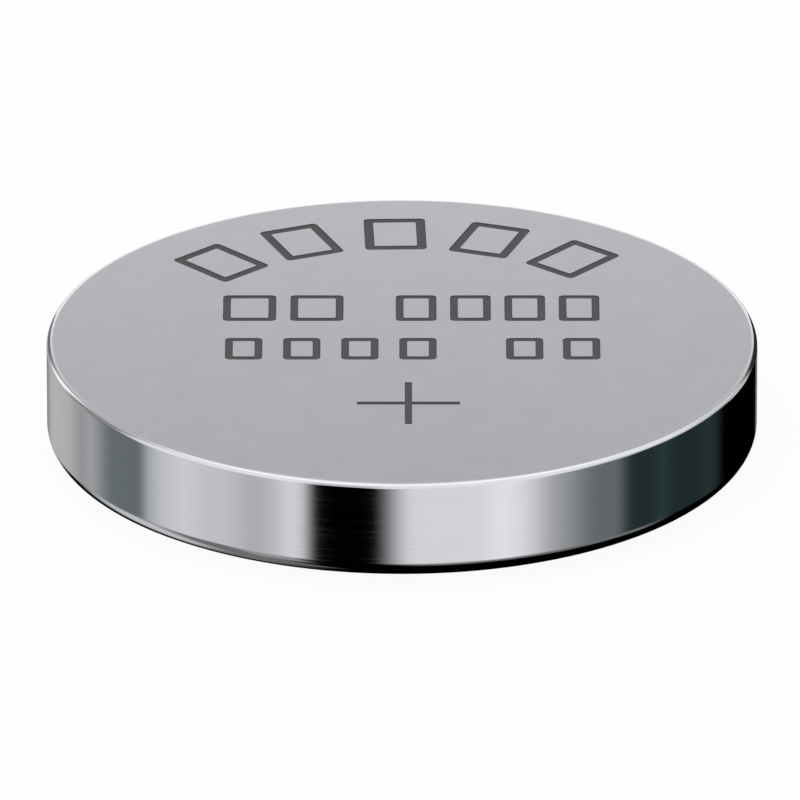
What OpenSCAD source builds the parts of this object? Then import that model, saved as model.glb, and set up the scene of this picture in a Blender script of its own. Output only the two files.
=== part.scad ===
// Lithium coin cell: a drawn steel can, a stepped cap and the gasket that is crimped between them,
// round a pressed cathode, a separator and a lithium disc.
// Millimetres. The axis is Z, the cap's contact face lies at z = 0 and the can's face looks up.

/* [Cell] */
// Diameter over the can
cell_d = 20; // [16:0.5:30]
// Height between the two contact faces
cell_h = 3.2; // [2.6:0.1:6]

/* [Positive can] */
// Thickness of the can's sheet
can_t = 0.2; // [0.15:0.01:0.3]
// Outer radius of the edge between the can's face and its wall
can_edge_r = 0.15; // [0.05:0.01:0.4]
// Inner radius in that corner
can_corner_r = 0.05; // [0.03:0.01:0.2]
// Inner radius of the curl that closes the can
curl_r = 0.28; // [0.2:0.01:0.4]
// Angle by which the curled lip leans past level
lip_lean = 10; // [0:1:20]
// Width of shoulder and gasket left open between the lip and the cap's step
seal_gap = 0.35; // [0.25:0.01:0.5]

/* [Negative cap] */
// Thickness of the cap's sheet
cap_t = 0.2; // [0.15:0.01:0.3]
// Distance by which the cap's face stands proud of the curl
cap_proud = 0.3; // [0.15:0.01:0.6]
// Outer radius of the bend between the cap's face and its step
face_bend_r = 0.4; // [0.32:0.01:0.55]
// Radius in the corner between the step and the shoulder
step_fillet_r = 0.15; // [0.05:0.01:0.2]
// Width of the shoulder, from the step to the cap's wall
shoulder_w = 0.85; // [0.7:0.01:1.2]
// Outer radius of the bend between the shoulder and the cap's wall
shoulder_bend_r = 0.35; // [0.32:0.01:0.45]

/* [Gasket] */
// Thickness between the can's wall and the cap's wall
gasket_wall = 0.35; // [0.2:0.01:0.5]
// Thickness squeezed between the lip's edge and the shoulder
gasket_lip = 0.2; // [0.12:0.01:0.3]
// Thickness between the can's face and the edge of the cap's wall
gasket_foot = 0.35; // [0.2:0.01:0.6]
// Thickness of the fin inside the cap's wall
gasket_fin_t = 0.25; // [0.15:0.01:0.4]
// Height of the fin over the edge of the cap's wall
gasket_fin_h = 0.6; // [0.3:0.05:0.8]

/* [Electrodes] */
// Thickness of the lithium disc
lithium_t = 0.65; // [0.4:0.05:0.8]
// Distance by which the lithium disc stays inside the cathode's edge
lithium_inset = 0.2; // [0.1:0.05:0.5]
// Radius round the edges of the pressed cathode
cathode_edge_r = 0.15; // [0.05:0.01:0.25]
// Thickness of the separator
separator_t = 0.15; // [0.05:0.01:0.3]
// Height of the rim that the separator turns up round the cathode
separator_rim_h = 0.8; // [0.5:0.05:1]
// Clearance between the separator's rim and the inside of the cap's step
electrode_clear = 0.3; // [0.1:0.05:0.6]

/* [Collector] */
// Thickness of the expanded sheet
collector_t = 0.1; // [0.05:0.01:0.2]
// Distance by which the sheet stays inside the cathode's edge
collector_inset = 0.4; // [0.3:0.05:1]
// Length of a mesh cell, along its diamond
mesh_l = 2; // [1.5:0.1:3]
// Width of a mesh cell, across its diamond
mesh_w = 1.2; // [0.9:0.1:1.8]
// Width of the strands between the diamonds
mesh_strand = 0.25; // [0.15:0.01:0.35]
// Width of the unpierced margin
mesh_margin = 0.3; // [0.2:0.05:0.8]

/* [Hidden] */
round_fn = 180; // facets round the cell
bend_fn = 48; // facets round a full bend in the section
slack = 0.5; // how far a cutting shape reaches past what it cuts

// Can: its inside, and the line of the lip that leans in from the curl
cell_r = cell_d / 2;
can_in_r = cell_r - can_t;
can_floor_z = cell_h - can_t;
curl_out_r = curl_r + can_t;
curl_x = cell_r - curl_out_r;
curl_z = cap_proud + curl_out_r;

// Cap: radii from the wall inwards, and the shoulder's height under the lip's inner edge
cap_wall_r = can_in_r - gasket_wall;
cap_edge_z = can_floor_z - gasket_foot;
step_r = cap_wall_r - shoulder_w;
lip_r = step_r + seal_gap;
lip_run = (curl_x - lip_r - curl_out_r * sin(lip_lean)) / cos(lip_lean);
lip_inner_z = curl_z + lip_run * sin(lip_lean) - curl_r * cos(lip_lean);
shoulder_z = lip_inner_z + gasket_lip;

// Gasket: its visible edge ends where the shoulder's flat begins
gasket_edge_r = step_r + step_fillet_r;
gasket_run = (curl_x - gasket_edge_r) / cos(lip_lean);
fin_r = cap_wall_r - cap_t - gasket_fin_t;

// Stack, from the cap up to the can
separator_r = step_r - cap_t - electrode_clear;
cathode_r = separator_r - separator_t;
lithium_r = cathode_r - lithium_inset;
collector_r = cathode_r - collector_inset;
lithium_top_z = cap_t + lithium_t;
cathode_z = lithium_top_z + separator_t;
collector_z = can_floor_z - collector_t;

// Half section of a drum that stands on low and has its lower edge rounded
module drum(radius, low, high, edge_r) {
    translate([0, low + edge_r])
        square([radius, high - low - edge_r]);
    translate([0, low])
        square([radius - edge_r, high - low]);
    translate([radius - edge_r, low + edge_r])
        circle(edge_r, $fn = bend_fn);
}

// Half section of all that the can encloses, its skin moved in by inset, with edge_r round its face.
// The lip's strip runs inwards from the curl for the length lip.
module can_fill(inset, edge_r, lip) {
    translate([0, cell_h])
        mirror([0, 1])
            drum(cell_r - inset, inset, cell_h - curl_z, edge_r);
    translate([curl_x, curl_z]) {
        circle(curl_out_r - inset, $fn = bend_fn);
        rotate(-lip_lean)
            translate([-lip, inset - curl_out_r])
                square([lip, curl_out_r - inset]);
    }
}

// Half section of all that the cap encloses, its skin moved in by inset
module cap_fill(inset) {
    fillet_x = step_r + step_fillet_r;
    fillet_z = shoulder_z - step_fillet_r;
    drum(step_r - inset, inset, cap_edge_z, face_bend_r - inset);
    drum(cap_wall_r - inset, shoulder_z + inset, cap_edge_z + inset, shoulder_bend_r - inset);
    difference() {
        translate([step_r - inset - slack, fillet_z])
            square([step_fillet_r + inset + slack, step_fillet_r + inset + slack]);
        translate([fillet_x, fillet_z])
            circle(step_fillet_r + inset, $fn = bend_fn);
    }
}

// Half section of the ring in which the gasket lies: above the shoulder, and under it out to its edge
module gasket_zone() {
    translate([fin_r, shoulder_z])
        square([cell_r - fin_r, cell_h - shoulder_z]);
    translate([gasket_edge_r, 0])
        square([cell_r - gasket_edge_r, shoulder_z + shoulder_bend_r]);
}

// One row of diamonds across the collector, each wholly inside its margin
module mesh_row(y, shift) {
    half_l = mesh_l / 2 - mesh_strand;
    half_w = half_l * mesh_w / mesh_l;
    reach = floor(collector_r / mesh_l) + 1;
    for (i = [-reach : reach]) {
        x = i * mesh_l + shift;
        if (norm([abs(x) + half_l, y]) < collector_r - mesh_margin
            && norm([x, abs(y) + half_w]) < collector_r - mesh_margin)
            translate([x, y])
                polygon([[half_l, 0], [0, half_w], [-half_l, 0], [0, -half_w]]);
    }
}

// Drawn can, curled in over the gasket
module positive_can() {
    color("silver")
        rotate_extrude($fn = round_fn)
            difference() {
                can_fill(0, can_edge_r, lip_run);
                can_fill(can_t, can_corner_r, gasket_run);
            }
}

// Expanded steel sheet between the can's floor and the cathode
module current_collector() {
    rows = floor(2 * collector_r / mesh_w) + 1;
    color("slategray")
        translate([0, 0, collector_z])
            linear_extrude(collector_t)
                difference() {
                    circle(collector_r, $fn = round_fn);
                    for (row = [-rows : rows])
                        mesh_row(row * mesh_w / 2, row % 2 == 0 ? 0 : mesh_l / 2);
                }
}

// Pressed powder disc
module cathode_pellet() {
    middle_z = (cathode_z + collector_z) / 2;
    color("dimgray")
        rotate_extrude($fn = round_fn) {
            drum(cathode_r, cathode_z, middle_z + slack / 2, cathode_edge_r);
            translate([0, cathode_z + collector_z])
                mirror([0, 1])
                    drum(cathode_r, cathode_z, middle_z + slack / 2, cathode_edge_r);
        }
}

// Shallow dish of nonwoven film, its rim turned up round the cathode
module separator() {
    color("whitesmoke")
        rotate_extrude($fn = round_fn)
            difference() {
                drum(separator_r, lithium_top_z, cathode_z + separator_rim_h,
                     cathode_edge_r + separator_t);
                drum(cathode_r, cathode_z, cathode_z + separator_rim_h + slack, cathode_edge_r);
            }
}

// Disc punched from lithium strip and pressed on the cap
module lithium_disc() {
    color("lightsteelblue")
        translate([0, 0, cap_t])
            cylinder(h = lithium_t, r = lithium_r, $fn = round_fn);
}

// Moulded ring: a fin and a foot round the edge of the cap's wall, and the skirt that the curl turns in
module gasket() {
    color("ivory")
        rotate_extrude($fn = round_fn) {
            difference() {
                intersection() {
                    can_fill(can_t, can_corner_r, gasket_run);
                    gasket_zone();
                }
                cap_fill(0);
            }
            translate([fin_r, cap_edge_z - gasket_fin_h])
                square([gasket_fin_t, gasket_fin_h + gasket_foot]);
        }
}

// Pressed cap: contact face, step, shoulder and the wall that stands in the gasket
module negative_cap() {
    color("gainsboro")
        rotate_extrude($fn = round_fn)
            difference() {
                cap_fill(0);
                cap_fill(cap_t);
            }
}

positive_can();
current_collector();
cathode_pellet();
separator();
lithium_disc();
gasket();
negative_cap();
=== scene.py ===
import math

import bpy
import numpy as np
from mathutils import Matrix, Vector
from mathutils.geometry import delaunay_2d_cdt


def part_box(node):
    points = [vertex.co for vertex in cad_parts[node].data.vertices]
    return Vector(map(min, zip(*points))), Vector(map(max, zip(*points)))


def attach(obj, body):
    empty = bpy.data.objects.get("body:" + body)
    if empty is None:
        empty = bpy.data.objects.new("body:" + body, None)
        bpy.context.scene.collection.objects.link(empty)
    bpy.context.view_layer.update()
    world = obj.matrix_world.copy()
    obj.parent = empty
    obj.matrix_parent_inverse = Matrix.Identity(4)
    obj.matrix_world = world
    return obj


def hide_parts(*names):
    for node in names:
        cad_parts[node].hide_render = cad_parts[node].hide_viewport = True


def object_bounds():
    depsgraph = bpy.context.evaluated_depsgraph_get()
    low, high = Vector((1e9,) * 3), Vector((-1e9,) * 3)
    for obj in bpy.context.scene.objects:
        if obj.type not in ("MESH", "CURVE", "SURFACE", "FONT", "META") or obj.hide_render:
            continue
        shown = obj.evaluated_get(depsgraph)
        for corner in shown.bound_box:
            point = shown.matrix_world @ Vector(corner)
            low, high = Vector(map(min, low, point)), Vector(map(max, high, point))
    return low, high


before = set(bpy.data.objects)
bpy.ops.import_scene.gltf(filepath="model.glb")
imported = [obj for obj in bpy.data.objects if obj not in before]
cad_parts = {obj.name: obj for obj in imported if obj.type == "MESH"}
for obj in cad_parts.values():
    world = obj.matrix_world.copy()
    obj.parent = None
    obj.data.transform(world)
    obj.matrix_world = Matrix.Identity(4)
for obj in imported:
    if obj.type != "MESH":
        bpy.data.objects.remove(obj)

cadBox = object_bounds()
mm = 0.001

# Camera: far off with a long lens, so that the cell shows almost no perspective, as in the photo
cameraValues = {
    "distance": 600 * mm,
    "elevation": 23.89,
    "lens": 958.7,
    "sensor": 36.0,
    "picture": 800,  # pixels on a side
    "canInPicture": (401.98, 386.6),  # pixel of the middle of the can's height on its axis
}


def makeCamera(values, middle):
    # eye = aim - distance * forward, where aim is the can's middle moved by the pixels it lies off centre
    tilt = math.radians(values["elevation"])
    forward = Vector((0, math.cos(tilt), -math.sin(tilt)))
    up = Vector((0, math.sin(tilt), math.cos(tilt)))
    pixel = values["distance"] * values["sensor"] / values["lens"] / values["picture"]
    across, down = (p - values["picture"] / 2 for p in values["canInPicture"])
    aim = middle + Vector((-across * pixel, 0, 0)) + up * (down * pixel)
    data = bpy.data.cameras.new("camera")
    data.lens = values["lens"]
    data.sensor_width = values["sensor"]
    camera = bpy.data.objects.new("camera", data)
    camera.location = aim - forward * values["distance"]
    camera.rotation_euler = (math.pi / 2 - tilt, 0, 0)
    bpy.context.scene.collection.objects.link(camera)
    bpy.context.scene.camera = camera


canLow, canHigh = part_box("positive_can")
makeCamera(cameraValues, Vector((0, 0, (canLow.z + canHigh.z) / 2)))
print("camera set")


# Half sections: runs of (radius, height) points, joined in order

def straightRun(start, end, steps=1):
    # start + share * (end - start), the share in equal steps from 0 to 1
    share = np.linspace(0, 1, steps + 1)[:, None]
    return (1 - share) * np.array(start) + share * np.array(end)


def bendRun(centre, radius, fromAngle, toAngle, steps):
    # centre + radius * (cos, sin) of equal steps between two angles in degrees
    angle = np.radians(np.linspace(fromAngle, toAngle, steps + 1))
    return np.array(centre) + radius * np.stack([np.cos(angle), np.sin(angle)], axis=1)


samePlace = 1e-9  # points closer than this are one


def joinRuns(*runs):
    # the runs end to end, without the points that repeat
    points = np.concatenate(runs)
    step = np.linalg.norm(np.diff(points, axis=0), axis=1)
    return points[np.concatenate([[True], step > samePlace])]


def turnedGrid(section, count):
    # each point (r, z) becomes a ring of count points (r cos a, r sin a, z)
    turn = np.arange(count) * (2 * math.pi / count)
    circle = np.stack([np.cos(turn), np.sin(turn)], axis=1)
    rings = np.empty((len(section), count, 3))
    rings[:, :, :2] = section[:, None, :1] * circle
    rings[:, :, 2] = section[:, None, 1]
    return rings.reshape(-1, 3)


def ringQuads(ringStarts, count):
    # four-sided faces between each ring and the next
    turn = np.arange(count)
    here = ringStarts[:-1, None] + turn
    beside = ringStarts[:-1, None] + (turn + 1) % count
    onward = ringStarts[1:, None] + turn
    acrossFrom = ringStarts[1:, None] + (turn + 1) % count
    return np.stack([here, onward, acrossFrom, beside], axis=2).reshape(-1, 4)


def poleFan(pole, ringStart, count, outward):
    # triangles from the pole to each edge of a ring
    turn = np.arange(count)
    first = ringStart + turn
    second = ringStart + (turn + 1) % count
    pair = (first, second) if outward else (second, first)
    return np.stack([np.full(count, pole), *pair], axis=1)


sharpAngle = 35  # degrees between two faces from which their edge is a real one


def makePiece(name, points, faces, node, materials, faceMaterials=None):
    # one closed mesh with its place in its points, smooth but for its real edges
    mesh = bpy.data.meshes.new(name)
    mesh.from_pydata(points.tolist(), [], faces)
    if faceMaterials is not None:
        mesh.polygons.foreach_set("material_index", faceMaterials)
    mesh.polygons.foreach_set("use_smooth", np.ones(len(faces), dtype=bool))
    mesh.set_sharp_from_angle(angle=math.radians(sharpAngle))
    for material in materials:
        mesh.materials.append(material)
    mesh.update()
    piece = bpy.data.objects.new(name, mesh)
    bpy.context.scene.collection.objects.link(piece)
    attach(piece, "root")
    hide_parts(node)


# Materials: small builders of shader nodes
noiseRoughness = 0.55
noiseMiddle = (0.3, 0.7)  # where most of a noise's values lie


class Shader:
    def __init__(self, name):
        # a material, its surface node and the object's own coordinates
        self.material = bpy.data.materials.new(name)
        self.material.use_nodes = True
        self.tree = self.material.node_tree
        self.main = self.tree.nodes["Principled BSDF"]
        self.place = self.add("ShaderNodeTexCoord").outputs["Object"]

    def add(self, kind, **settings):
        # one node with its settings
        node = self.tree.nodes.new(kind)
        for key, value in settings.items():
            setattr(node, key, value)
        return node

    def link(self, output, socket):
        # the output feeds the socket
        self.tree.links.new(output, socket)

    def base(self, color, metallic, roughness):
        # the even surface, which noises vary
        self.main.inputs["Base Color"].default_value = (*color, 1)
        self.main.inputs["Metallic"].default_value = metallic
        self.main.inputs["Roughness"].default_value = roughness

    def noise(self, stretch, detail):
        # noise on the object's own place, stretch cells a metre along each axis
        mapping = self.add("ShaderNodeMapping")
        mapping.inputs["Scale"].default_value = stretch
        self.link(self.place, mapping.inputs["Vector"])
        noise = self.add("ShaderNodeTexNoise")
        noise.inputs["Scale"].default_value = 1.0
        noise.inputs["Detail"].default_value = detail
        noise.inputs["Roughness"].default_value = noiseRoughness
        self.link(mapping.outputs["Vector"], noise.inputs["Vector"])
        return noise.outputs["Fac"]

    def spread(self, factor, low, high, middle=noiseMiddle):
        # maps the middle of a noise to the range from low to high
        ranged = self.add("ShaderNodeMapRange")
        ranged.inputs["From Min"].default_value = middle[0]
        ranged.inputs["From Max"].default_value = middle[1]
        ranged.inputs["To Min"].default_value = low
        ranged.inputs["To Max"].default_value = high
        self.link(factor, ranged.inputs["Value"])
        return ranged.outputs["Result"]

    def tint(self, factor, dark, light):
        # colour between dark and light by a noise
        mix = self.add("ShaderNodeMix", data_type="RGBA")
        mix.inputs["A"].default_value = (*dark, 1)
        mix.inputs["B"].default_value = (*light, 1)
        self.link(self.spread(factor, 0.0, 1.0), mix.inputs["Factor"])
        self.link(mix.outputs["Result"], self.main.inputs["Base Color"])

    def relief(self, height, depth, under=None):
        # bump of the given depth in metres, laid over another bump where one is given
        bump = self.add("ShaderNodeBump")
        bump.inputs["Strength"].default_value = 1.0
        bump.inputs["Distance"].default_value = depth
        self.link(height, bump.inputs["Height"])
        if under is not None:
            self.link(under, bump.inputs["Normal"])
        self.link(bump.outputs["Normal"], self.main.inputs["Normal"])
        return bump.outputs["Normal"]


def makeFinish(name, f):
    # colour and roughness follow a noise each, and every relief lies over the one before it
    shader = Shader(name)
    shader.base(*f["base"])
    noises = {key: shader.noise(*values) for key, values in f["noises"].items()}
    if "tint" in f:
        key, dark, light = f["tint"]
        shader.tint(noises[key], dark, light)
    if "rough" in f:
        key, *reach = f["rough"]
        shader.link(shader.spread(noises[key], *reach), shader.main.inputs["Roughness"])
    under = None
    for key, depth in f["reliefs"]:
        under = shader.relief(noises[key], depth, under)
    for key, value in f.get("more", {}).items():
        shader.main.inputs[key].default_value = value
    return shader.material


# Steel of the can and the cap: cold-rolled, nickel grey, satin on the faces and polished where it was drawn.
# In each finish: base colour, metal and roughness; noises by their cells a metre along X, Y and Z and their
# detail; what the tint and the roughness follow, and between which values; reliefs by their depth in metres.
steel = {
    "faceDark": (0.57, 0.577, 0.587),
    "faceLight": (0.595, 0.602, 0.612),
    "wallColor": (0.775, 0.78, 0.785),
    "etchedDark": (0.05, 0.052, 0.055),
    "etchedLight": (0.085, 0.088, 0.092),
}
canFinishes = {
    # face: fine rolled grain, long shallow streaks along X over a powdery unevenness
    "satinSteel": {
        "base": (steel["faceLight"], 1.0, 0.33),
        "noises": {
            "cloud": ((900, 900, 900), 4.0),
            "streaks": ((500, 26000, 26000), 2.0),
            "powder": ((30000, 30000, 30000), 2.0),
        },
        "tint": ("cloud", steel["faceDark"], steel["faceLight"]),
        "rough": ("streaks", 0.3, 0.36),
        "reliefs": (("powder", 0.0000004), ("streaks", 0.0000003)),
    },
    # drawn wall: faint lines that run round it, since the noise changes fast with height alone
    "polishedSteel": {
        "base": (steel["wallColor"], 1.0, 0.09),
        "noises": {"drawLines": ((160, 160, 24000), 3.0)},
        "rough": ("drawLines", 0.085, 0.14, (0.5, 0.75)),
        "reliefs": (("drawLines", 0.0000005),),
    },
    # floor of the etched marks: dark, rough oxide
    "etchedSteel": {
        "base": (steel["etchedLight"], 0.0, 0.7),
        "noises": {"pits": ((26000, 26000, 26000), 3.0)},
        "tint": ("pits", steel["etchedDark"], steel["etchedLight"]),
        "reliefs": (("pits", 0.000002),),
        "more": {"Specular IOR Level": 0.3},
    },
}

# Can: drawn steel with an etched face
can = {
    "radius": canHigh.x,
    "top": canHigh.z,
    "bottom": canLow.z,
    "sheet": 0.2 * mm,
    "faceEdge": 0.15 * mm,  # outside
    "faceCorner": 0.05 * mm,  # inside
    "curl": 0.28 * mm,  # inside
    "lean": 10.0,  # degrees that the lip leans past level
    "lipEdge": 8.95 * mm,
    "support": 0.015 * mm,  # flat ring beside the bend, which keeps the face's shading flat
    "hub": 0.4,  # part of the radius that the fan on the inner axis takes
    "count": 640,
    "steps": {"faceEdge": 18, "wall": 3, "outerCurl": 20, "curl": 12, "faceCorner": 4, "inside": 2},
}


def curlLines(c):
    # centre of the curl, the direction along the lip and the one that points out through it
    outer = c["curl"] + c["sheet"]
    lean = math.radians(c["lean"])
    centre = np.array((c["radius"] - outer, c["bottom"] + outer))
    along = np.array((-math.cos(lean), math.sin(lean)))
    outward = np.array((-math.sin(lean), -math.cos(lean)))
    return centre, along, outward


def lipPoint(c, radius, away):
    # the point at a radius on the line that runs along the lip at the distance away from the curl's centre
    centre, along, outward = curlLines(c)
    start = centre + away * outward
    return start - along * (start[0] - radius) / along[0]


def lipEnds(c):
    # outer and inner point of the lip's square-cut edge
    outward = curlLines(c)[2]
    outer = lipPoint(c, c["lipEdge"], c["curl"] + c["sheet"])
    return outer, outer - outward * c["sheet"]


def canSection(c):
    # flat face, edge, wall, curl and lip on the outside, then back up inside to the axis
    edge, corner = c["faceEdge"], c["faceCorner"]
    edgeCentre = (c["radius"] - edge, c["top"] - edge)
    cornerCentre = (c["radius"] - c["sheet"] - corner, c["top"] - c["sheet"] - corner)
    curlCentre = curlLines(c)[0]
    outerCurl = c["curl"] + c["sheet"]
    innerTop = c["top"] - c["sheet"]
    wallTop = (c["radius"], edgeCentre[1] - c["support"])
    wallFoot = (c["radius"], curlCentre[1] + c["support"])
    steps = c["steps"]
    return joinRuns(
        straightRun((edgeCentre[0] - c["support"], c["top"]), (edgeCentre[0], c["top"])),
        bendRun(edgeCentre, edge, 90, 0, steps["faceEdge"]),
        straightRun(wallTop, wallFoot, steps["wall"]),
        bendRun(curlCentre, outerCurl, 0, -90 - c["lean"], steps["outerCurl"]),
        straightRun(*lipEnds(c)),
        bendRun(curlCentre, c["curl"], -90 - c["lean"], 0, steps["curl"]),
        bendRun(cornerCentre, corner, 0, 90, steps["faceCorner"]),
        straightRun((cornerCentre[0], innerTop), (c["hub"] * c["radius"], innerTop), steps["inside"]),
    )


# Etched marks on the can's face: a plus sign, and rows of plain frames
marks = {
    "depth": 0.02 * mm,
    "plusPlace": (0.18 * mm, -4.42 * mm),
    "plusArm": 1.44 * mm,
    "plusStroke": 0.2 * mm,
    # rows of frames: X of the first, X of the last, number, Y, width and height of each
    "rows": (
        (-4.3 * mm, -2.4 * mm, 2, 2.2 * mm, 1.5 * mm, 1.8 * mm),
        (0.4 * mm, 5.0 * mm, 4, 2.2 * mm, 1.15 * mm, 1.8 * mm),
        (-4.45 * mm, 0.45 * mm, 4, -0.65 * mm, 1.05 * mm, 1.5 * mm),
        (3.45 * mm, 5.05 * mm, 2, -0.65 * mm, 1.05 * mm, 1.5 * mm),
    ),
    "rowStroke": 0.22 * mm,
    "arcSpan": (-43.5, 40.5),  # degrees from the back of the face
    "arcFrames": 5,
    "arcRadius": 7.45 * mm,
    "arcSize": (1.75 * mm, 2.2 * mm),  # width and height of each
    "arcStroke": 0.27 * mm,
    "corners": (0.14 * mm, 0.05 * mm),  # outside and inside
    "cornerSteps": 4,
    "weld": 1e-7,  # in mm, the unit in which the face is split into triangles
}


def turnedPoints(points, angle):
    # the points turned left about the origin by an angle in radians
    return points @ np.array([[math.cos(angle), math.sin(angle)], [-math.sin(angle), math.cos(angle)]])


def roundedOutline(width, height, corner, steps):
    # the corners of a rectangle about the origin as quarter bends, turning left
    signs = ((1, 1, 0), (-1, 1, 90), (-1, -1, 180), (1, -1, 270))
    return np.concatenate([
        bendRun((sx * (width / 2 - corner), sy * (height / 2 - corner)), corner, start, start + 90, steps)
        for sx, sy, start in signs
    ])


def frameLoops(m, middle, angle, width, height, stroke):
    # outer and inner outline of a frame that is turned about its middle
    outlines = [
        roundedOutline(width - 2 * inset, height - 2 * inset, corner, m["cornerSteps"])
        for inset, corner in zip((0, stroke), m["corners"])
    ]
    return [turnedPoints(outline, angle) + np.array(middle) for outline in outlines]


def plusOutline(middle, arm, halfStroke):
    # twelve corners of a plus sign: one quarter's three, turned by right angles
    quarter = np.array([(arm, -halfStroke), (arm, halfStroke), (halfStroke, halfStroke)])
    return np.concatenate([turnedPoints(quarter, k * math.pi / 2) for k in range(4)]) + np.array(middle)


def markLoops(m):
    # the outlines of all marks, and for each whether it bounds a mark's inside
    loops = [plusOutline(m["plusPlace"], m["plusArm"], m["plusStroke"] / 2)]
    for first, last, number, place, width, height in m["rows"]:
        for x in np.linspace(first, last, number):
            loops += frameLoops(m, (x, place), 0, width, height, m["rowStroke"])
    for degrees in np.linspace(*m["arcSpan"], m["arcFrames"]):
        fromBack = math.radians(degrees)
        spot = (m["arcRadius"] * math.sin(fromBack), m["arcRadius"] * math.cos(fromBack))
        loops += frameLoops(m, spot, -fromBack, *m["arcSize"], m["arcStroke"])
    return loops, [False] + [False, True] * (len(loops) // 2)


def etchedFace(m, ring, top):
    # flat triangles between the ring and the marks' loops, with what lies in one loop only sunk and walled
    loops, inner = markLoops(m)
    flat = np.concatenate([ring[:, :2], *loops])
    starts = np.cumsum([len(ring)] + [len(loop) for loop in loops])
    insides = [list(range(starts[i], starts[i + 1])) for i in range(len(loops))]
    edges = [(i, (i + 1) % len(ring)) for i in range(len(ring))]
    # output kind 0 is every triangle inside the ring, and True asks which points and faces each came from
    made = delaunay_2d_cdt([Vector(p) for p in (flat / mm).tolist()], edges, insides, 0, m["weld"], True)
    triangles = np.array(made[2])
    sunk = np.array([len(source) == 1 for source in made[5]])
    origin = np.array([source[0] for source in made[3]])
    triangles = origin[triangles]
    lowered = len(flat) - len(ring)  # the sunk copy of each loop point follows all the others
    walls = []
    for inside, hole in zip(insides, inner):
        here = np.array(inside)
        onward = np.roll(here, -1)
        wall = np.stack([here, onward, onward + lowered, here + lowered], axis=1)
        walls.append(wall[:, ::-1] if hole else wall)
    points = np.concatenate([
        np.column_stack([flat, np.full(len(flat), top)]),
        np.column_stack([flat[len(ring):], np.full(lowered, top - m["depth"])]),
    ])
    return points, triangles[~sunk], triangles[sunk] + lowered, np.concatenate(walls)


def makeCan(c):
    # the turned section, closed by a fan on the inner axis and by the etched face on its first ring
    section = canSection(c)
    count = c["count"]
    grid = turnedGrid(section, count)
    ringStarts = np.arange(len(section)) * count
    pole = len(grid)
    face, plain, floors, walls = etchedFace(marks, grid[:count], c["top"])
    # the face's points follow the pole, but for those of the ring that it shares
    shift = pole + 1 - count
    plain, floors, walls = (np.where(part < count, part, part + shift) for part in (plain, floors, walls))
    points = np.concatenate([grid, [(0, 0, c["top"] - c["sheet"])], face[count:]])
    fan = poleFan(pole, ringStarts[-1], count, outward=False)
    groups = [(ringQuads(ringStarts, count), 1), (fan, 1), (plain, 0), (floors, 2), (walls, 2)]
    faces = [corners for group, index in groups for corners in group.tolist()]
    indices = np.concatenate([np.full(len(group), index) for group, index in groups])
    materials = [makeFinish(name, finish) for name, finish in canFinishes.items()]
    makePiece("canShell", points, faces, "positive_can", materials, indices)


makeCan(can)
print("can made")


# Cap: pressed steel, seen from below
capLow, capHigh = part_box("negative_cap")
cap = {
    "wall": capHigh.x,
    "edge": capHigh.z,
    "face": capLow.z,
    "sheet": 0.2 * mm,
    "shoulder": 0.85 * mm,
    "faceBend": 0.4 * mm,  # outside
    "stepFillet": 0.15 * mm,
    "shoulderBend": 0.35 * mm,  # outside
    "shoulderHeight": lipEnds(can)[1][1] + 0.2 * mm,  # the gasket's 0.2 mm over the lip's inner edge
    "support": 0.02 * mm,
    "hub": 0.3,  # part of the step's radius that the fans on the axis take
    "count": 512,
    "steps": {"flat": 2, "faceBend": 14, "stepFillet": 8, "shoulderBend": 12,
              "innerShoulder": 8, "innerFillet": 10, "innerFace": 8},
}
# an even powdery grain, satin like the can's face
capFinish = {
    "base": (steel["faceLight"], 1.0, 0.34),
    "noises": {"cloud": ((700, 700, 700), 4.0), "powder": ((26000, 26000, 26000), 3.0)},
    "tint": ("cloud", steel["faceDark"], steel["faceLight"]),
    "rough": ("powder", 0.3, 0.4),
    "reliefs": (("powder", 0.0000006),),
}


def capSection(c):
    # contact face from the axis, up the step, out along the shoulder, up the wall, and back inside
    step = c["wall"] - c["shoulder"]
    faceCentre = (step - c["faceBend"], c["face"] + c["faceBend"])
    filletCentre = (step + c["stepFillet"], c["shoulderHeight"] - c["stepFillet"])
    wallCentre = (c["wall"] - c["shoulderBend"], c["shoulderHeight"] + c["shoulderBend"])
    sheet, steps, hub = c["sheet"], c["steps"], c["hub"] * step
    flatEnd, innerFace = faceCentre[0] - c["support"], c["face"] + sheet
    return joinRuns(
        straightRun((hub, c["face"]), (flatEnd, c["face"]), steps["flat"]),
        bendRun(faceCentre, c["faceBend"], -90, 0, steps["faceBend"]),
        bendRun(filletCentre, c["stepFillet"], 180, 90, steps["stepFillet"]),
        bendRun(wallCentre, c["shoulderBend"], -90, 0, steps["shoulderBend"]),
        straightRun((c["wall"], c["edge"]), (c["wall"] - sheet, c["edge"])),
        bendRun(wallCentre, c["shoulderBend"] - sheet, 0, -90, steps["innerShoulder"]),
        bendRun(filletCentre, c["stepFillet"] + sheet, 90, 180, steps["innerFillet"]),
        bendRun(faceCentre, c["faceBend"] - sheet, 0, -90, steps["innerFace"]),
        straightRun((flatEnd, innerFace), (hub, innerFace), steps["flat"]),
    )


def makeCap(c):
    # the turned section, closed by a fan on the axis outside and one inside
    section = capSection(c)
    count = c["count"]
    grid = turnedGrid(section, count)
    ringStarts = np.arange(len(section)) * count
    outside = len(grid)
    points = np.concatenate([grid, [(0, 0, c["face"]), (0, 0, c["face"] + c["sheet"])]])
    # this section runs the other way round the axis than the can's, so its faces are turned over
    faces = ringQuads(ringStarts, count)[:, ::-1].tolist()
    faces += poleFan(outside, ringStarts[0], count, outward=False).tolist()
    faces += poleFan(outside + 1, ringStarts[-1], count, outward=True).tolist()
    makePiece("capShell", points, faces, "negative_cap", [makeFinish("capSteel", capFinish)])


makeCap(cap)
print("cap made")


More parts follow.
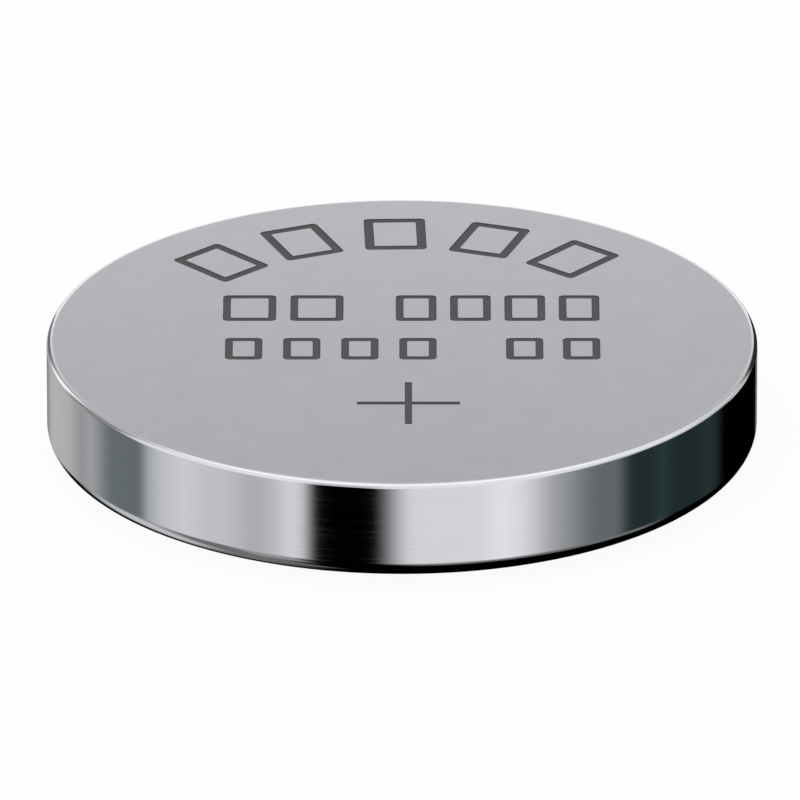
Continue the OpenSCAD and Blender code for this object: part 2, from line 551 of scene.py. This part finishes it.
# Gasket: milky moulded ring between the can and the cap
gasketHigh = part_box("gasket")[1]
gasket = {
    "outer": gasketHigh.x,
    "top": gasketHigh.z,
    "fin": 0.25 * mm,
    "finHeight": 0.6 * mm,
    "edge": 8.75 * mm,  # radius at which its visible edge ends
    "count": 512,
    "finSteps": 2,
}
# polypropylene: pale, a little see-through, with the soft unevenness of a moulding
gasketFinish = {
    "base": ((0.78, 0.78, 0.745), 0.0, 0.38),
    "noises": {"flow": ((2500, 2500, 2500), 3.0)},
    "tint": ("flow", (0.74, 0.74, 0.7), (0.81, 0.81, 0.78)),
    "rough": ("flow", 0.33, 0.45),
    "reliefs": (("flow", 0.000002),),
    "more": {
        "Subsurface Weight": 0.3,
        "Subsurface Radius": (0.0004, 0.0004, 0.00036),
        "Subsurface Scale": 1.0,
    },
}


def gasketSection(g):
    # down inside the fin, round the cap's wall, under the shoulder, along the curl and up the can.
    # Its bends take the steps of the bends that they touch.
    finIn = cap["wall"] - cap["sheet"] - g["fin"]
    finFoot = cap["edge"] - g["finHeight"]
    wallCentre = (cap["wall"] - cap["shoulderBend"], cap["shoulderHeight"] + cap["shoulderBend"])
    corner = can["faceCorner"]
    cornerCentre = (g["outer"] - corner, g["top"] - corner)
    return joinRuns(
        straightRun((finIn, g["top"]), (finIn, finFoot), g["finSteps"]),
        straightRun((finIn, finFoot), (finIn + g["fin"], finFoot)),
        straightRun((finIn + g["fin"], cap["edge"]), (cap["wall"], cap["edge"])),
        bendRun(wallCentre, cap["shoulderBend"], 0, -90, cap["steps"]["shoulderBend"]),
        straightRun((g["edge"], cap["shoulderHeight"]), lipPoint(can, g["edge"], can["curl"])),
        bendRun(curlLines(can)[0], can["curl"], -90 - can["lean"], 0, can["steps"]["curl"]),
        bendRun(cornerCentre, corner, 0, 90, can["steps"]["faceCorner"]),
    )


def makeGasket(g):
    # the turned section, whose last ring joins its first
    section = gasketSection(g)
    count = g["count"]
    ringStarts = np.arange(len(section)) * count
    closed = np.concatenate([ringStarts, ringStarts[:1]])
    faces = ringQuads(closed, count)[:, ::-1].tolist()
    plastic = makeFinish("milkyPlastic", gasketFinish)
    makePiece("gasketRing", turnedGrid(section, count), faces, "gasket", [plastic])


makeGasket(gasket)
print("gasket made")


# Pieces sealed inside: the CAD solids stay, and get their finishes
innerFinishes = {
    # black, grainy and dull
    "cathode_pellet": ("pressedPowder", {
        "base": ((0.03, 0.03, 0.032), 0.0, 0.85),
        "noises": {"grains": ((9000, 9000, 9000), 5.0)},
        "tint": ("grains", (0.02, 0.02, 0.021), (0.05, 0.05, 0.052)),
        "rough": ("grains", 0.75, 0.95),
        "reliefs": (("grains", 0.00001),),
    }),
    # white fibres laid in all directions, from two stretched noises
    "separator": ("nonwovenFilm", {
        "base": ((0.82, 0.82, 0.8), 0.0, 0.8),
        "noises": {"fibres": ((900, 14000, 9000), 3.0), "crossing": ((14000, 900, 9000), 3.0)},
        "tint": ("fibres", (0.74, 0.74, 0.72), (0.87, 0.87, 0.85)),
        "reliefs": (("fibres", 0.000008), ("crossing", 0.000008)),
    }),
    # soft silvery strip with rolling lines and a dull bloom
    "lithium_disc": ("softLithium", {
        "base": ((0.66, 0.67, 0.68), 1.0, 0.45),
        "noises": {"bloom": ((600, 600, 600), 4.0), "rolled": ((300, 9000, 9000), 2.0)},
        "tint": ("bloom", (0.55, 0.56, 0.58), (0.72, 0.73, 0.74)),
        "rough": ("bloom", 0.35, 0.6),
        "reliefs": (("rolled", 0.000003),),
    }),
    # steel strands with a matt grain
    "current_collector": ("expandedSteel", {
        "base": ((0.5, 0.5, 0.5), 1.0, 0.35),
        "noises": {"grain": ((15000, 15000, 15000), 3.0)},
        "tint": ("grain", (0.44, 0.44, 0.45), (0.54, 0.54, 0.55)),
        "rough": ("grain", 0.28, 0.45),
        "reliefs": (("grain", 0.000001),),
    }),
}
for nodeName, nameAndFinish in innerFinishes.items():
    innerMaterial = makeFinish(*nameAndFinish)
    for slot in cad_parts[nodeName].material_slots:
        slot.material = innerMaterial
print("inner pieces finished")


# Floor: pale and plain, with the cell's shadow. Seen from below it is clear, so that the cap shows.
floor = {
    "half": 0.6,
    "under": 0.02 * mm,
    "color": (0.95, 0.95, 0.95),
    "roughness": 0.9,
    "specular": 0.1,
    "ownLight": 0.93,
}


def makeFloor(f):
    # one square from -half to half, facing up
    half = f["half"]
    mesh = bpy.data.meshes.new("studioFloor")
    corners = [(-half, -half, 0), (half, -half, 0), (half, half, 0), (-half, half, 0)]
    mesh.from_pydata(corners, [], [(0, 1, 2, 3)])
    mesh.materials.append(paleFloor(f))
    piece = bpy.data.objects.new("studioFloor", mesh)
    piece.location.z = cadBox[0][2] - f["under"]  # a hair's gap, since two faces in one plane flicker
    piece.visible_glossy = False  # the steel shows the studio's cards in place of the floor, as in the photo
    piece.visible_diffuse = False  # so that the gasket is lit from below as well
    bpy.context.scene.collection.objects.link(piece)


def paleFloor(f):
    # pale matt paint; for the camera part of its white is its own light, which softens the shadow
    shader = Shader("paleFloor")
    shader.base(f["color"], 0.0, f["roughness"])
    shader.main.inputs["Specular IOR Level"].default_value = f["specular"]
    glow = shader.add("ShaderNodeEmission")
    glow.inputs["Color"].default_value = (1, 1, 1, 1)
    rays = shader.add("ShaderNodeLightPath")
    share = shader.add("ShaderNodeMath", operation="MULTIPLY")
    share.inputs[1].default_value = f["ownLight"]
    shader.link(rays.outputs["Is Camera Ray"], share.inputs[0])
    lit = shader.add("ShaderNodeMixShader")
    shader.link(share.outputs["Value"], lit.inputs["Fac"])
    shader.link(shader.main.outputs["BSDF"], lit.inputs[1])
    shader.link(glow.outputs["Emission"], lit.inputs[2])
    clear = shader.add("ShaderNodeBsdfTransparent")
    side = shader.add("ShaderNodeNewGeometry")
    both = shader.add("ShaderNodeMixShader")
    shader.link(side.outputs["Backfacing"], both.inputs["Fac"])
    shader.link(lit.outputs["Shader"], both.inputs[1])
    shader.link(clear.outputs["BSDF"], both.inputs[2])
    shader.link(both.outputs["Shader"], shader.tree.nodes["Material Output"].inputs["Surface"])
    return shader.material


makeFloor(floor)
print("floor made")


# Studio: what the steel reflects, as cards round the cell with soft edges, each laid over those before it.
# Azimuth 0 is towards the camera and grows to its right. A card of the skirt is what the can's wall mirrors.
studio = {
    "dome": 0.8,  # light on all that doesn't mirror
    "around": (0.95, "cool"),
    "tints": {"white": (1, 1, 1), "cool": (0.99, 1, 1.03), "teal": (0.87, 1, 1.03), "green": (0.57, 1, 1)},
    # azimuth, half width, soft edge, elevation, half height, soft edge, light, tint
    "cards": {
        "overhead": (0, 190, 1, 90, 36, 14, 1.2, "cool"),
        "backUpper": (180, 42, 30, 62, 28, 20, 0.73, "white"),
        "backWall": (180, 42, 24, 20, 19, 16, 0.55, "white"),
        "rightReturn": (123, 13, 14, 20, 16, 12, 0.75, "cool"),
        "rightLow": (105, 50, 24, 2, 10, 12, 0.55, "cool"),
        "leftSky": (-128, 30, 18, 20, 29, 18, 0.53, "cool"),
        "leftFlag": (-113, 15, 14, 12, 19, 16, 0.29, "cool"),
        "leftKicker": (-138, 7, 7, 13, 16, 12, 1.19, "cool"),
        "leftEnd": (-160, 12, 8, 4, 18, 8, 0.2, "white"),
        "flagHalo": (-18, 11, 8, 12, 22, 14, 0.6, "cool"),
        "farRightDark": (156, 15, 8, 3, 19, 8, 0.026, "white"),
        "backDark": (180, 24, 12, -12, 14, 8, 0.017, "white"),
        "lowDark": (0, 190, 1, -58, 45, 8, 0, "white"),
        "lowLeft": (-92, 46, 14, -50, 24, 12, 0.18, "cool"),
        "lowLeftGlow": (-110, 21, 24, -43, 15, 12, 0.65, "cool"),
        "lowLeftEdge": (-46, 11, 9, -37, 11, 10, 0.35, "cool"),
        "lowRight": (50, 45, 20, -31, 7, 8, 0.2, "cool"),
    },
    "skirtBand": (-16.5, 11, 5),  # elevation, half height, soft edge
    # azimuth, half width, soft edge, light, tint
    "skirt": {
        "leftBox": (-62, 31.5, 7, 0.67, "cool"),
        "leftGlow": (-75, 4, 14, 0.78, "cool"),
        "leftDip": (-49, 5, 14, 0.51, "cool"),
        "leftStrip": (-36, 3, 7, 0.82, "cool"),
        "farLeft": (-140, 32, 10, 0.34, "cool"),
        "farLeftBox": (-148, 15, 14, 0.51, "white"),
        "farLeftStrip": (-119, 6, 10, 0.46, "cool"),
        "leftGap": (-104, 12, 20, 0.18, "teal"),
        "rightShade": (54, 24, 10, 0.17, "teal"),
        "rightSkirt": (48, 10, 20, 0.43, "cool"),
        "rightBox": (21.5, 24, 14, 0.85, "cool"),
        "rightStrip": (33, 4, 10, 0.97, "cool"),
        "rightDark": (101.5, 24.5, 8, 0.03, "green"),
        "rightGlint": (94, 2, 10, 0.055, "green"),
        "rightGlintFar": (118, 2, 10, 0.043, "green"),
        "backStrip": (172, 3, 4, 0.26, "white"),
        "farLeftEdge": (-173, 5, 6, 0.26, "white"),
        "blackFlag": (-18.5, 8.5, 6, 0, "white"),
    },
}


def smoothInside(tree, value, half, soft):
    # 1 where the value lies within half, fading to 0 over the width soft
    size = tree.nodes.new("ShaderNodeMath")
    size.operation = "ABSOLUTE"
    tree.links.new(value, size.inputs[0])
    fade = tree.nodes.new("ShaderNodeMapRange")
    fade.interpolation_type = "SMOOTHSTEP"
    fade.inputs["From Min"].default_value = half - soft / 2
    fade.inputs["From Max"].default_value = half + soft / 2
    fade.inputs["To Min"].default_value = 1.0
    fade.inputs["To Max"].default_value = 0.0
    tree.links.new(size.outputs["Value"], fade.inputs["Value"])
    return fade.outputs["Result"]


def worldMath(tree, operation, *inputs):
    # one sum on sockets and numbers
    node = tree.nodes.new("ShaderNodeMath")
    node.operation = operation
    for socket, value in zip(node.inputs, inputs):
        if isinstance(value, (int, float)):
            socket.default_value = value
        else:
            tree.links.new(value, socket)
    return node.outputs["Value"]


def cardColor(s, light, tint):
    # the card's light times its tint
    return (*(light * part for part in s["tints"][tint]), 1)


def makeStudio(s):
    # camera rays see white, mirrored rays the cards by their azimuth and elevation, all others an even dome
    world = bpy.data.worlds.new("studio")
    bpy.context.scene.world = world
    world.use_nodes = True
    tree = world.node_tree
    tree.nodes.clear()
    direction = tree.nodes.new("ShaderNodeTexCoord").outputs["Generated"]
    parts = tree.nodes.new("ShaderNodeSeparateXYZ")
    tree.links.new(direction, parts.inputs["Vector"])
    x, y, z = (parts.outputs[axis] for axis in "XYZ")
    degree, halfTurn = math.degrees(1), 180.0
    turn = worldMath(tree, "ARCTAN2", x, worldMath(tree, "MULTIPLY", y, -1.0))
    azimuth = worldMath(tree, "MULTIPLY", turn, degree)
    elevation = worldMath(tree, "MULTIPLY", worldMath(tree, "ARCSINE", z), degree)
    seen = tree.nodes.new("ShaderNodeRGB").outputs["Color"]
    seen.default_value = cardColor(s, *s["around"])
    skirt = [(*card[:3], *s["skirtBand"], *card[3:]) for card in s["skirt"].values()]
    for middle, half, soft, height, halfHeight, softHeight, light, tint in [*s["cards"].values(), *skirt]:
        across = worldMath(tree, "WRAP", worldMath(tree, "SUBTRACT", azimuth, middle), halfTurn, -halfTurn)
        upward = worldMath(tree, "SUBTRACT", elevation, height)
        cover = worldMath(tree, "MULTIPLY", smoothInside(tree, across, half, soft),
                          smoothInside(tree, upward, halfHeight, softHeight))
        card = tree.nodes.new("ShaderNodeMix")
        card.data_type = "RGBA"
        tree.links.new(cover, card.inputs["Factor"])
        tree.links.new(seen, card.inputs["A"])
        card.inputs["B"].default_value = cardColor(s, light, tint)
        seen = card.outputs["Result"]
    rays = tree.nodes.new("ShaderNodeLightPath")
    mirrored = tree.nodes.new("ShaderNodeBackground")
    tree.links.new(seen, mirrored.inputs["Color"])
    even = tree.nodes.new("ShaderNodeBackground")
    even.inputs["Strength"].default_value = s["dome"]
    even.inputs["Color"].default_value = (1, 1, 1, 1)
    white = tree.nodes.new("ShaderNodeBackground")
    white.inputs["Color"].default_value = (1, 1, 1, 1)
    lit = tree.nodes.new("ShaderNodeMixShader")
    tree.links.new(rays.outputs["Is Glossy Ray"], lit.inputs["Fac"])
    tree.links.new(even.outputs["Background"], lit.inputs[1])
    tree.links.new(mirrored.outputs["Background"], lit.inputs[2])
    shown = tree.nodes.new("ShaderNodeMixShader")
    tree.links.new(rays.outputs["Is Camera Ray"], shown.inputs["Fac"])
    tree.links.new(lit.outputs["Shader"], shown.inputs[1])
    tree.links.new(white.outputs["Background"], shown.inputs[2])
    output = tree.nodes.new("ShaderNodeOutputWorld")
    tree.links.new(shown.outputs["Shader"], output.inputs["Surface"])


makeStudio(studio)

# Two panels close to the cell, which the satin faces mirror. The back one is lightest at its foot, so that
# the can's face darkens to the front. The other lies under the cap, and its light falls off across it.
panels = {
    "back": {
        "middle": (0, 75 * mm, 37.5 * mm),
        "across": (30 * mm, 0, 0),
        "upward": (0, 0, 37.5 * mm),
        "sides": 4,
        "light": (1.42, 0.08),
    },
    "under": {
        "middle": (0, 0, -0.2 * mm),
        "across": (9.3 * mm, 0, 0),
        "upward": (0, 9.3 * mm, 0),
        "sides": 96,
        "light": (1.05, 0.65),
    },
}


def makePanel(name, p):
    # middle + u * across + v * upward, where (u, v) are the corners of a regular shape round a unit circle.
    # Its light goes from the first value to the second as v goes from -1 to 1.
    middle, across, upward = (np.array(p[key]) for key in ("middle", "across", "upward"))
    sides = p["sides"]
    angle = (np.arange(sides) + 0.5) * 2 * math.pi / sides
    u, v = np.stack([np.cos(angle), np.sin(angle)])[:, :, None] / math.cos(math.pi / sides)
    mesh = bpy.data.meshes.new(name)
    mesh.from_pydata((middle + u * across + v * upward).tolist(), [], [list(range(sides))])
    shader = Shader(name)
    reach = shader.add("ShaderNodeVectorMath", operation="DOT_PRODUCT")
    reach.inputs[1].default_value = upward / np.dot(upward, upward)
    shader.link(shader.place, reach.inputs[0])
    start = np.dot(middle, upward) / np.dot(upward, upward)
    fade = shader.add("ShaderNodeMapRange")
    for key, value in zip(("From Min", "From Max", "To Min", "To Max"), (start - 1, start + 1, *p["light"])):
        fade.inputs[key].default_value = value
    shader.link(reach.outputs["Value"], fade.inputs["Value"])
    glow = shader.add("ShaderNodeEmission")
    glow.inputs["Color"].default_value = cardColor(studio, 1.0, "cool")
    shader.link(fade.outputs["Result"], glow.inputs["Strength"])
    shader.link(glow.outputs["Emission"], shader.tree.nodes["Material Output"].inputs["Surface"])
    mesh.materials.append(shader.material)
    piece = bpy.data.objects.new(name, mesh)
    piece.visible_camera = False
    piece.visible_diffuse = False
    piece.visible_transmission = False
    piece.visible_shadow = False
    bpy.context.scene.collection.objects.link(piece)


for panelName, panel in panels.items():
    makePanel(panelName + "Panel", panel)

# Softbox high on the camera's left, for a soft shadow on the floor
softbox = {"place": (-0.35, -0.3, 0.6), "size": 0.5, "watts": 1.2}


def makeSoftbox(b):
    # a square lamp that looks at the origin
    data = bpy.data.lights.new("softbox", "AREA")
    data.size = b["size"]
    data.energy = b["watts"]
    light = bpy.data.objects.new("softbox", data)
    light.location = b["place"]
    light.rotation_euler = (-Vector(b["place"])).to_track_quat("-Z", "Y").to_euler()
    light.visible_glossy = False  # the steel mirrors the cards alone
    bpy.context.scene.collection.objects.link(light)


makeSoftbox(softbox)
bpy.context.scene.view_settings.view_transform = "Standard"
print("studio set")
